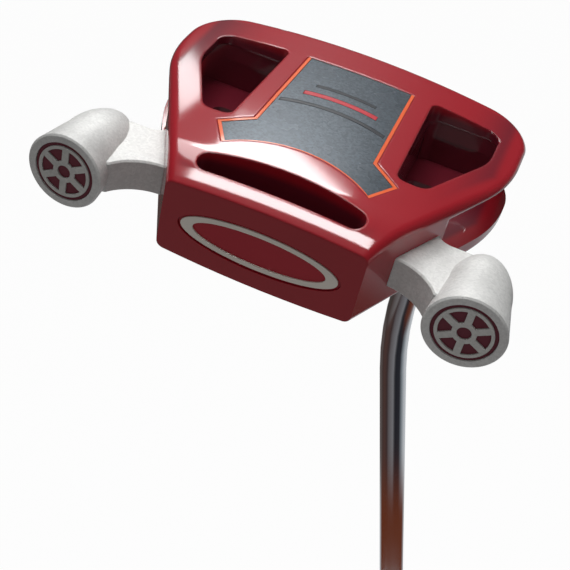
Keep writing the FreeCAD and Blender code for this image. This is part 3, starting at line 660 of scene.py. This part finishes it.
# ------------------------------------------------------------------ pods
def blasted(name, colour, size, metallic=0.30, edge=0.0003):
    """Bead-blasted metal: fine even grain, dull shine, a little dirt in its grain."""
    material, tree, shader = new_material(name)
    grain = grain_over_edges(tree, edge, Size=size, Height=size * 0.07, Roughness=0.62, Variation=0.12)
    patches = step_up(tree, grain.outputs["Cloud"], 0.3, 0.6)
    tint = mix_colour(tree, patches, shaded(colour, 0.84), rgba(colour))
    specks = place_group(tree, "Dust specks", Spacing=0.0009, Size=0.30, Amount=0.45)
    tint = mix_colour(tree, specks.outputs["Speck"], tint, shaded(colour, 0.90))
    flakes = place_group(tree, "Shade flakes", Size=size, Low=0.92, High=1.06)
    tree.links.new(tint, flakes.inputs["Color"])
    dress(tree, shader, flakes.outputs["Color"], grain)
    shader.inputs["Metallic"].default_value = metallic
    return material


class PUTTER_OT_pods(bpy.types.Operator):
    """Bead-blasted pods and arms with their end wheels, backing discs, slugs and studs"""
    bl_idname = "putter.pods"
    bl_label = "Pods"

    def execute(self, context):
        settings = context.scene.putter_pods
        casting = blasted("Blasted pod metal", settings.metal, settings.blast)
        wheel = blasted("End wheel metal", settings.wheel, settings.blast, edge=0.00012)
        disc = lacquer("Maroon disc lacquer", settings.disc, edge=0.0001, coat=0.25)
        slug = blasted("Tungsten", (0.20, 0.20, 0.21), 0.0005, metallic=0.9)
        stud = blasted("Stud steel", (0.48, 0.48, 0.48), 0.0004, metallic=0.9)
        for side in ("heel_", "toe_"):
            finish_node(side + "pod", casting)
            finish_node(side + "end_wheel", wheel)
            finish_node(side + "backing_disc", disc)
            finish_node(side + "slug", slug)
            finish_node(side + "studs", stud)
        return {"FINISHED"}


# ------------------------------------------------------------------ shaft and grip
class PUTTER_OT_shaft(bpy.types.Operator):
    """Bright chrome plating on the stepped tube, and its plug"""
    bl_idname = "putter.shaft"
    bl_label = "Shaft"

    def execute(self, context):
        settings = context.scene.putter_shaft
        material, tree, shader = new_material("Shaft chrome")
        place = add(tree, "ShaderNodeTexCoord")
        stretch = add(tree, "ShaderNodeMapping")
        stretch.inputs["Scale"].default_value = (900.0, 900.0, 25.0)
        link(tree, place, "Object", stretch, "Vector")
        draw = add(tree, "ShaderNodeTexNoise", {"Scale": 1.0, "Detail": 3.0})
        link(tree, stretch, "Vector", draw, "Vector")
        grain = place_group(tree, "Surface grain", Size=0.0020, Height=0.0000004, Roughness=0.07,
                            Variation=0.03)
        tint = mix_colour(tree, draw.outputs["Fac"], shaded(settings.chrome, 0.93), rgba(settings.chrome))
        dress(tree, shader, tint, grain)
        rough = calc(tree, "ADD", grain.outputs["Roughness"],
                     calc(tree, "MULTIPLY", draw.outputs["Fac"], 0.03))
        tree.links.new(rough, shader.inputs["Roughness"])
        shader.inputs["Metallic"].default_value = 1.0
        finish_node("shaft", material)
        finish_node("shaft_plug", matte("Plug plastic", (0.03, 0.03, 0.03), 0.6))
        return {"FINISHED"}


# height, radius of the round back, distance of the flat front from the axis, in millimetres
GRIP_PROFILE = (
    (5.0, 13.3, 9.8), (20.0, 14.1, 10.2), (40.0, 14.5, 10.4), (65.0, 14.4, 10.4), (95.0, 13.7, 10.2),
    (130.0, 12.8, 10.0), (170.0, 11.9, 9.8), (215.0, 11.1, 9.6), (267.0, 10.4, 9.4),
)


def grip_at(height):
    """Smooth back radius and front distance of the grip at a height, in metres."""
    rows = GRIP_PROFILE
    index = 0
    while index < len(rows) - 2 and rows[index + 1][0] < height / MM:
        index += 1
    low, high = rows[index], rows[index + 1]
    before = rows[max(index - 1, 0)]
    after = rows[min(index + 2, len(rows) - 1)]
    t = min(max((height / MM - low[0]) / (high[0] - low[0]), 0.0), 1.0)
    values = []
    for k in (1, 2):
        slope_low = (high[k] - before[k]) / (high[0] - before[0]) * (high[0] - low[0])
        slope_high = (after[k] - low[k]) / (after[0] - low[0]) * (high[0] - low[0])
        values.append((2 * t ** 3 - 3 * t ** 2 + 1) * low[k] + (t ** 3 - 2 * t ** 2 + t) * slope_low
                      + (3 * t ** 2 - 2 * t ** 3) * high[k] + (t ** 3 - t ** 2) * slope_high)
    return values[0] * MM, values[1] * MM


def grip_outline(back, front):
    """Points round one grip section: flat front towards +Y, round back."""
    half = math.sqrt(back * back - front * front)
    turn = math.atan2(front, half)
    centre = Vector(((back - GRIP_CORNER) * math.cos(turn), front - GRIP_CORNER))
    points = []
    for i in range(6):
        points.append(Vector((centre.x * i / 5.0, front)))
    start, stop = math.pi / 2, math.atan2(centre.y, centre.x)
    for i in range(1, 7):
        angle = start + (stop - start) * i / 6.0
        points.append(centre + Vector((math.cos(angle), math.sin(angle))) * GRIP_CORNER)
    shoulder = math.atan2(points[-1].y, points[-1].x)
    reach = points[-1].length
    for i in range(1, GRIP_BACK_POINTS + 1):
        angle = shoulder + (-math.pi / 2 - shoulder) * i / GRIP_BACK_POINTS
        blend = min(1.0, i / 3.0)
        points.append(Vector((math.cos(angle), math.sin(angle))) * (reach + (back - reach) * blend))
    mirror = [Vector((-p.x, p.y)) for p in reversed(points[1:-1])]
    return points + mirror


def bridge(form, first, second):
    """Faces between two rings that have as many points."""
    for k in range(len(first)):
        n = (k + 1) % len(first)
        form.faces.new((first[k], second[k], second[n], first[n]))


def bore_ring(form, ring):
    """Ring of the grip's bore at the height of an outer ring."""
    inner = []
    for vert in ring:
        edge = Vector((vert.co.x, vert.co.y)).normalized() * GRIP_BORE
        inner.append(form.verts.new((edge.x, edge.y, vert.co.z)))
    return inner


class PUTTER_OT_grip(bpy.types.Operator):
    """Moulded rubber grip skin with ribs, in place of the plain sleeve"""
    bl_idname = "putter.grip"
    bl_label = "Grip"

    def skin(self, low, high):
        """Smooth skin of the grip between two heights, closed by its end faces and its bore."""
        mesh = bpy.data.meshes.new("grip_skin")
        form = bmesh.new()
        rings = []
        for i in range(GRIP_RINGS + 1):
            height = low + (high - low) * i / GRIP_RINGS
            back, front = (reach - RIB_ROOM for reach in grip_at(height))
            if i == GRIP_RINGS:
                back, front = back - GRIP_MOUTH_EDGE, front - GRIP_MOUTH_EDGE
            if i == GRIP_RINGS - 1:
                height = high - GRIP_MOUTH_EDGE
            rings.append([form.verts.new((p.x, p.y, height)) for p in grip_outline(back, front)])
        for lower, upper in zip(rings, rings[1:]):
            bridge(form, lower, upper)
        first = bore_ring(form, rings[0])
        bridge(form, rings[0], first)
        last = bore_ring(form, rings[-1])
        bridge(form, last, rings[-1])
        bridge(form, last, first)
        bmesh.ops.recalc_face_normals(form, faces=form.faces)
        form.to_mesh(mesh)
        form.free()
        mesh.shade_smooth()
        piece = bpy.data.objects.new("grip_skin", mesh)
        bpy.context.scene.collection.objects.link(piece)
        return piece

    def execute(self, context):
        settings = context.scene.putter_shaft
        low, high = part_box("grip_sleeve")
        piece = self.skin(low.z, high.z)
        rubber = matte("Grip rubber", settings.grip, 0.55)
        piece.data.materials.append(rubber)
        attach(piece, "root")
        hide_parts("grip_sleeve")
        first, last = GRIP_RIB_ZONE
        ribs = rib_row("grip_ribs", piece.data.copy(), {
            "Count": int((last - first) / settings.rib_pitch) + 1, "Start": (0.0, RAY_START, first),
            "Step": (0.0, 0.0, settings.rib_pitch), "Length": GRIP_RIB_LENGTH,
            "Radius": GRIP_RIB_RADIUS, "Sink": GRIP_RIB_RADIUS - settings.rib_height, "Lean": 0.0,
            "Material": rubber,
        })
        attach(ribs, "root")
        finish_node("grip_cap", matte("Grip cap plastic", (0.022, 0.022, 0.024), 0.6))
        finish_node("grip_tape", matte("Grip tape", (0.62, 0.60, 0.52), 0.85))
        return {"FINISHED"}


# ------------------------------------------------------------------ stage
def stage_sheet(name, corners, material):
    """Flat four-cornered sheet with a material, linked into the scene."""
    mesh = bpy.data.meshes.new(name)
    mesh.from_pydata(corners, [], [(0, 1, 2, 3)])
    mesh.materials.append(material)
    sheet = bpy.data.objects.new(name, mesh)
    bpy.context.scene.collection.objects.link(sheet)


def backdrop_material(name, seen, mirrored, lit):
    """White to the camera with a faint shadow, its own shade in reflections and for light."""
    material = bpy.data.materials.new(name)
    material.use_nodes = True
    tree = material.node_tree
    tree.nodes.clear()
    output = tree.nodes.new("ShaderNodeOutputMaterial")
    path = tree.nodes.new("ShaderNodeLightPath")
    paper = add(tree, "ShaderNodeBsdfDiffuse", {"Color": (lit, lit, lit, 1.0)})
    white = add(tree, "ShaderNodeEmission", {"Color": (seen, seen, seen, 1.0), "Strength": 1.0})
    shine = add(tree, "ShaderNodeEmission", {"Color": rgba(mirrored), "Strength": 1.0})
    glossy = tree.nodes.new("ShaderNodeMixShader")
    link(tree, path, "Is Glossy Ray", glossy, 0)
    tree.links.new(paper.outputs[0], glossy.inputs[1])
    tree.links.new(shine.outputs[0], glossy.inputs[2])
    camera = tree.nodes.new("ShaderNodeMixShader")
    part = calc(tree, "MULTIPLY", path.outputs["Is Camera Ray"], 0.97)
    tree.links.new(part, camera.inputs[0])
    tree.links.new(glossy.outputs[0], camera.inputs[1])
    tree.links.new(white.outputs[0], camera.inputs[2])
    tree.links.new(camera.outputs[0], output.inputs["Surface"])
    return material


# direction round the card in degrees from +X, and the shade of its painted reflection there
CHROME_CARD = (
    (-180, (0.060, 0.040, 0.036)), (-150, (0.075, 0.040, 0.034)), (-125, (0.050, 0.032, 0.031)),
    (-108, (0.12, 0.11, 0.115)), (-72, (0.19, 0.19, 0.20)), (-60, (0.05, 0.05, 0.055)),
    (-50, (0.018, 0.019, 0.024)), (-14, (0.024, 0.025, 0.031)), (8, (0.20, 0.23, 0.25)),
    (40, (0.50, 0.53, 0.55)), (110, (0.62, 0.64, 0.66)), (135, (0.10, 0.08, 0.075)),
)
HEAD_CARD = (
    (-180, (0.060, 0.040, 0.036)), (-130, (0.17, 0.16, 0.16)), (-60, (0.13, 0.12, 0.12)),
    (35, (0.020, 0.020, 0.024)), (50, (0.45, 0.45, 0.46)), (110, (0.62, 0.64, 0.66)),
    (135, (0.06, 0.05, 0.045)),
)
FLOOR_CARD = (
    (-180, (0.130, 0.034, 0.016)), (40, (0.130, 0.034, 0.016)), (70, (0.42, 0.43, 0.44)),
    (150, (0.42, 0.43, 0.44)), (172, (0.130, 0.034, 0.016)),
)


def shade_ramp(tree, turn, shades):
    """Colour ramp over a direction from 0 to 1 round the card."""
    node = add(tree, "ShaderNodeValToRGB")
    tree.links.new(turn, node.inputs["Fac"])
    stops = node.color_ramp.elements
    while len(stops) < len(shades):
        stops.new(1.0)
    for stop, (azimuth, shade) in zip(stops, shades):
        stop.position = azimuth / 360.0 + 0.5
        stop.color = rgba(shade)
    return node.outputs["Color"]


def reflection_card_material():
    """Glowing shades of the card, painted reflections seen only in gloss: brown low down, then the chrome's,
    then the head's.
    """
    material, tree, shader = new_material("Card shades")
    place = add(tree, "ShaderNodeTexCoord")
    split = add(tree, "ShaderNodeSeparateXYZ")
    link(tree, place, "Object", split, "Vector")
    angle = calc(tree, "ARCTAN2", split.outputs["Y"], split.outputs["X"])
    turn = calc(tree, "MULTIPLY_ADD", angle, 0.5 / math.pi, 0.5)
    low = step_up(tree, split.outputs["Z"], *CARD_CHROME_FROM)
    high = step_up(tree, split.outputs["Z"], *CARD_HEAD_FROM)
    shade = mix_colour(tree, low, shade_ramp(tree, turn, FLOOR_CARD), shade_ramp(tree, turn, CHROME_CARD))
    shade = mix_colour(tree, high, shade, shade_ramp(tree, turn, HEAD_CARD))
    shader.inputs["Base Color"].default_value = rgba((0.0, 0.0, 0.0))
    shader.inputs["Specular IOR Level"].default_value = 0.0
    tree.links.new(shade, shader.inputs["Emission Color"])
    shader.inputs["Emission Strength"].default_value = 1.0
    return material


def soft_box(name, power, place, target, size, turn):
    """Rectangular area lamp at the lamps' height that faces a point."""
    lamp = bpy.data.lights.new(name, "AREA")
    lamp.shape = "RECTANGLE"
    lamp.size, lamp.size_y = size
    lamp.energy = power
    box = bpy.data.objects.new(name, lamp)
    bpy.context.scene.collection.objects.link(box)
    centre = Vector((place[0], place[1], LAMP_HEIGHT))
    aim = (Vector(target) - centre).to_track_quat("-Z", "Y")
    roll = Euler((0.0, 0.0, math.radians(turn)))
    box.rotation_euler = (aim.to_matrix() @ roll.to_matrix()).to_euler()
    box.location = centre
    box.visible_camera = False


class PUTTER_OT_stage(bpy.types.Operator):
    """Pale floor, round card that glows with painted reflections for the chrome and the head, four soft boxes
    and the camera
    """
    bl_idname = "putter.stage"
    bl_label = "Stage"

    def floor(self):
        """Square of pale paper under the club."""
        paper = backdrop_material("Floor paper", 1.0, (0.62, 0.64, 0.66), 0.80)
        far = FLOOR_HALF
        stage_sheet("stage_floor", [(-far, -far, 0), (far, -far, 0), (far, far, 0), (-far, far, 0)], paper)

    def card(self):
        """Round card about the club, seen only in gloss, that glows with painted reflections: shades that
        change round it and up it.
        """
        mesh = bpy.data.meshes.new("stage_card")
        form = bmesh.new()
        bmesh.ops.create_cone(form, segments=CARD_SEGMENTS, radius1=CARD_RADIUS, radius2=CARD_RADIUS,
                              depth=CARD_HEIGHT)
        bmesh.ops.translate(form, verts=form.verts, vec=(0.0, 0.0, CARD_HEIGHT / 2))
        form.to_mesh(mesh)
        form.free()
        mesh.materials.append(reflection_card_material())
        sheet = bpy.data.objects.new("stage_card", mesh)
        bpy.context.scene.collection.objects.link(sheet)
        sheet.visible_camera = False
        sheet.visible_diffuse = False
        sheet.visible_shadow = False
        sheet.visible_transmission = False

    def world(self, strength, mirrored):
        """White room to the camera, dim for light and dimmer in gloss."""
        world = bpy.data.worlds.new("Studio room")
        bpy.context.scene.world = world
        world.use_nodes = True
        tree = world.node_tree
        tree.nodes.clear()
        output = tree.nodes.new("ShaderNodeOutputWorld")
        path = tree.nodes.new("ShaderNodeLightPath")
        room = add(tree, "ShaderNodeBackground", {"Color": (1.0, 1.0, 1.0, 1.0), "Strength": strength})
        dusk = add(tree, "ShaderNodeBackground", {"Color": (1.0, 1.0, 1.0, 1.0), "Strength": mirrored})
        polish = tree.nodes.new("ShaderNodeMixShader")
        link(tree, path, "Is Glossy Ray", polish, 0)
        tree.links.new(room.outputs[0], polish.inputs[1])
        tree.links.new(dusk.outputs[0], polish.inputs[2])
        white = add(tree, "ShaderNodeBackground", {"Color": (1.0, 1.0, 1.0, 1.0), "Strength": 1.0})
        mix = tree.nodes.new("ShaderNodeMixShader")
        link(tree, path, "Is Camera Ray", mix, 0)
        tree.links.new(polish.outputs[0], mix.inputs[1])
        tree.links.new(white.outputs[0], mix.inputs[2])
        tree.links.new(mix.outputs[0], output.inputs["Surface"])

    def camera(self):
        """Camera behind and above the head, with the head in the frame's upper part."""
        data = bpy.data.cameras.new("Putter camera")
        data.lens = 72.63
        data.sensor_width = 36.0
        data.shift_x = 0.0413
        data.shift_y = -0.0188
        data.clip_start = 0.01
        body = bpy.data.objects.new("Putter camera", data)
        bpy.context.scene.collection.objects.link(body)
        body.location = (0.08743, -0.30580, 1.01200)
        body.rotation_euler = Euler((math.radians(55.409), math.radians(3.346), math.radians(21.623)), "XYZ")
        bpy.context.scene.camera = body

    def execute(self, context):
        settings = context.scene.putter_stage
        self.floor()
        self.card()
        self.world(settings.ambient, settings.mirrored)
        for name, power, place, target, size, turn in SOFT_BOXES:
            soft_box(name, getattr(settings, power), place, target, size, turn)
        self.camera()
        context.scene.view_settings.view_transform = "Standard"
        return {"FINISHED"}


class PUTTER_PT_panel(bpy.types.Panel):
    """Shows the putter's settings and operator buttons in the sidebar"""
    bl_label = "Putter"
    bl_idname = "PUTTER_PT_panel"
    bl_space_type = "VIEW_3D"
    bl_region_type = "UI"
    bl_category = "Putter"

    def draw(self, context):
        layout = self.layout
        for group in SETTINGS:
            for name in group[1].__annotations__:
                layout.prop(getattr(context.scene, group[0]), name)
        for operator in OPERATORS:
            layout.operator(operator.bl_idname)


SETTINGS = (
    ("putter_head", PutterHeadSettings),
    ("putter_pods", PutterPodSettings),
    ("putter_shaft", PutterShaftSettings),
    ("putter_stage", PutterStageSettings),
)
OPERATORS = (
    PUTTER_OT_shared_effects,
    PUTTER_OT_head_paint,
    PUTTER_OT_badge,
    PUTTER_OT_medallion,
    PUTTER_OT_face,
    PUTTER_OT_pods,
    PUTTER_OT_shaft,
    PUTTER_OT_grip,
    PUTTER_OT_stage,
)


def register():
    for name, group in SETTINGS:
        bpy.utils.register_class(group)
        setattr(bpy.types.Scene, name, bpy.props.PointerProperty(type=group))
    for operator in OPERATORS:
        bpy.utils.register_class(operator)
    bpy.utils.register_class(PUTTER_PT_panel)


def unregister():
    bpy.utils.unregister_class(PUTTER_PT_panel)
    for operator in reversed(OPERATORS):
        bpy.utils.unregister_class(operator)
    for name, group in reversed(SETTINGS):
        delattr(bpy.types.Scene, name)
        bpy.utils.unregister_class(group)


def main():
    register()
    for operator in OPERATORS:
        family, name = operator.bl_idname.split(".")
        getattr(getattr(bpy.ops, family), name)()


if __name__ == "__main__":
    main()
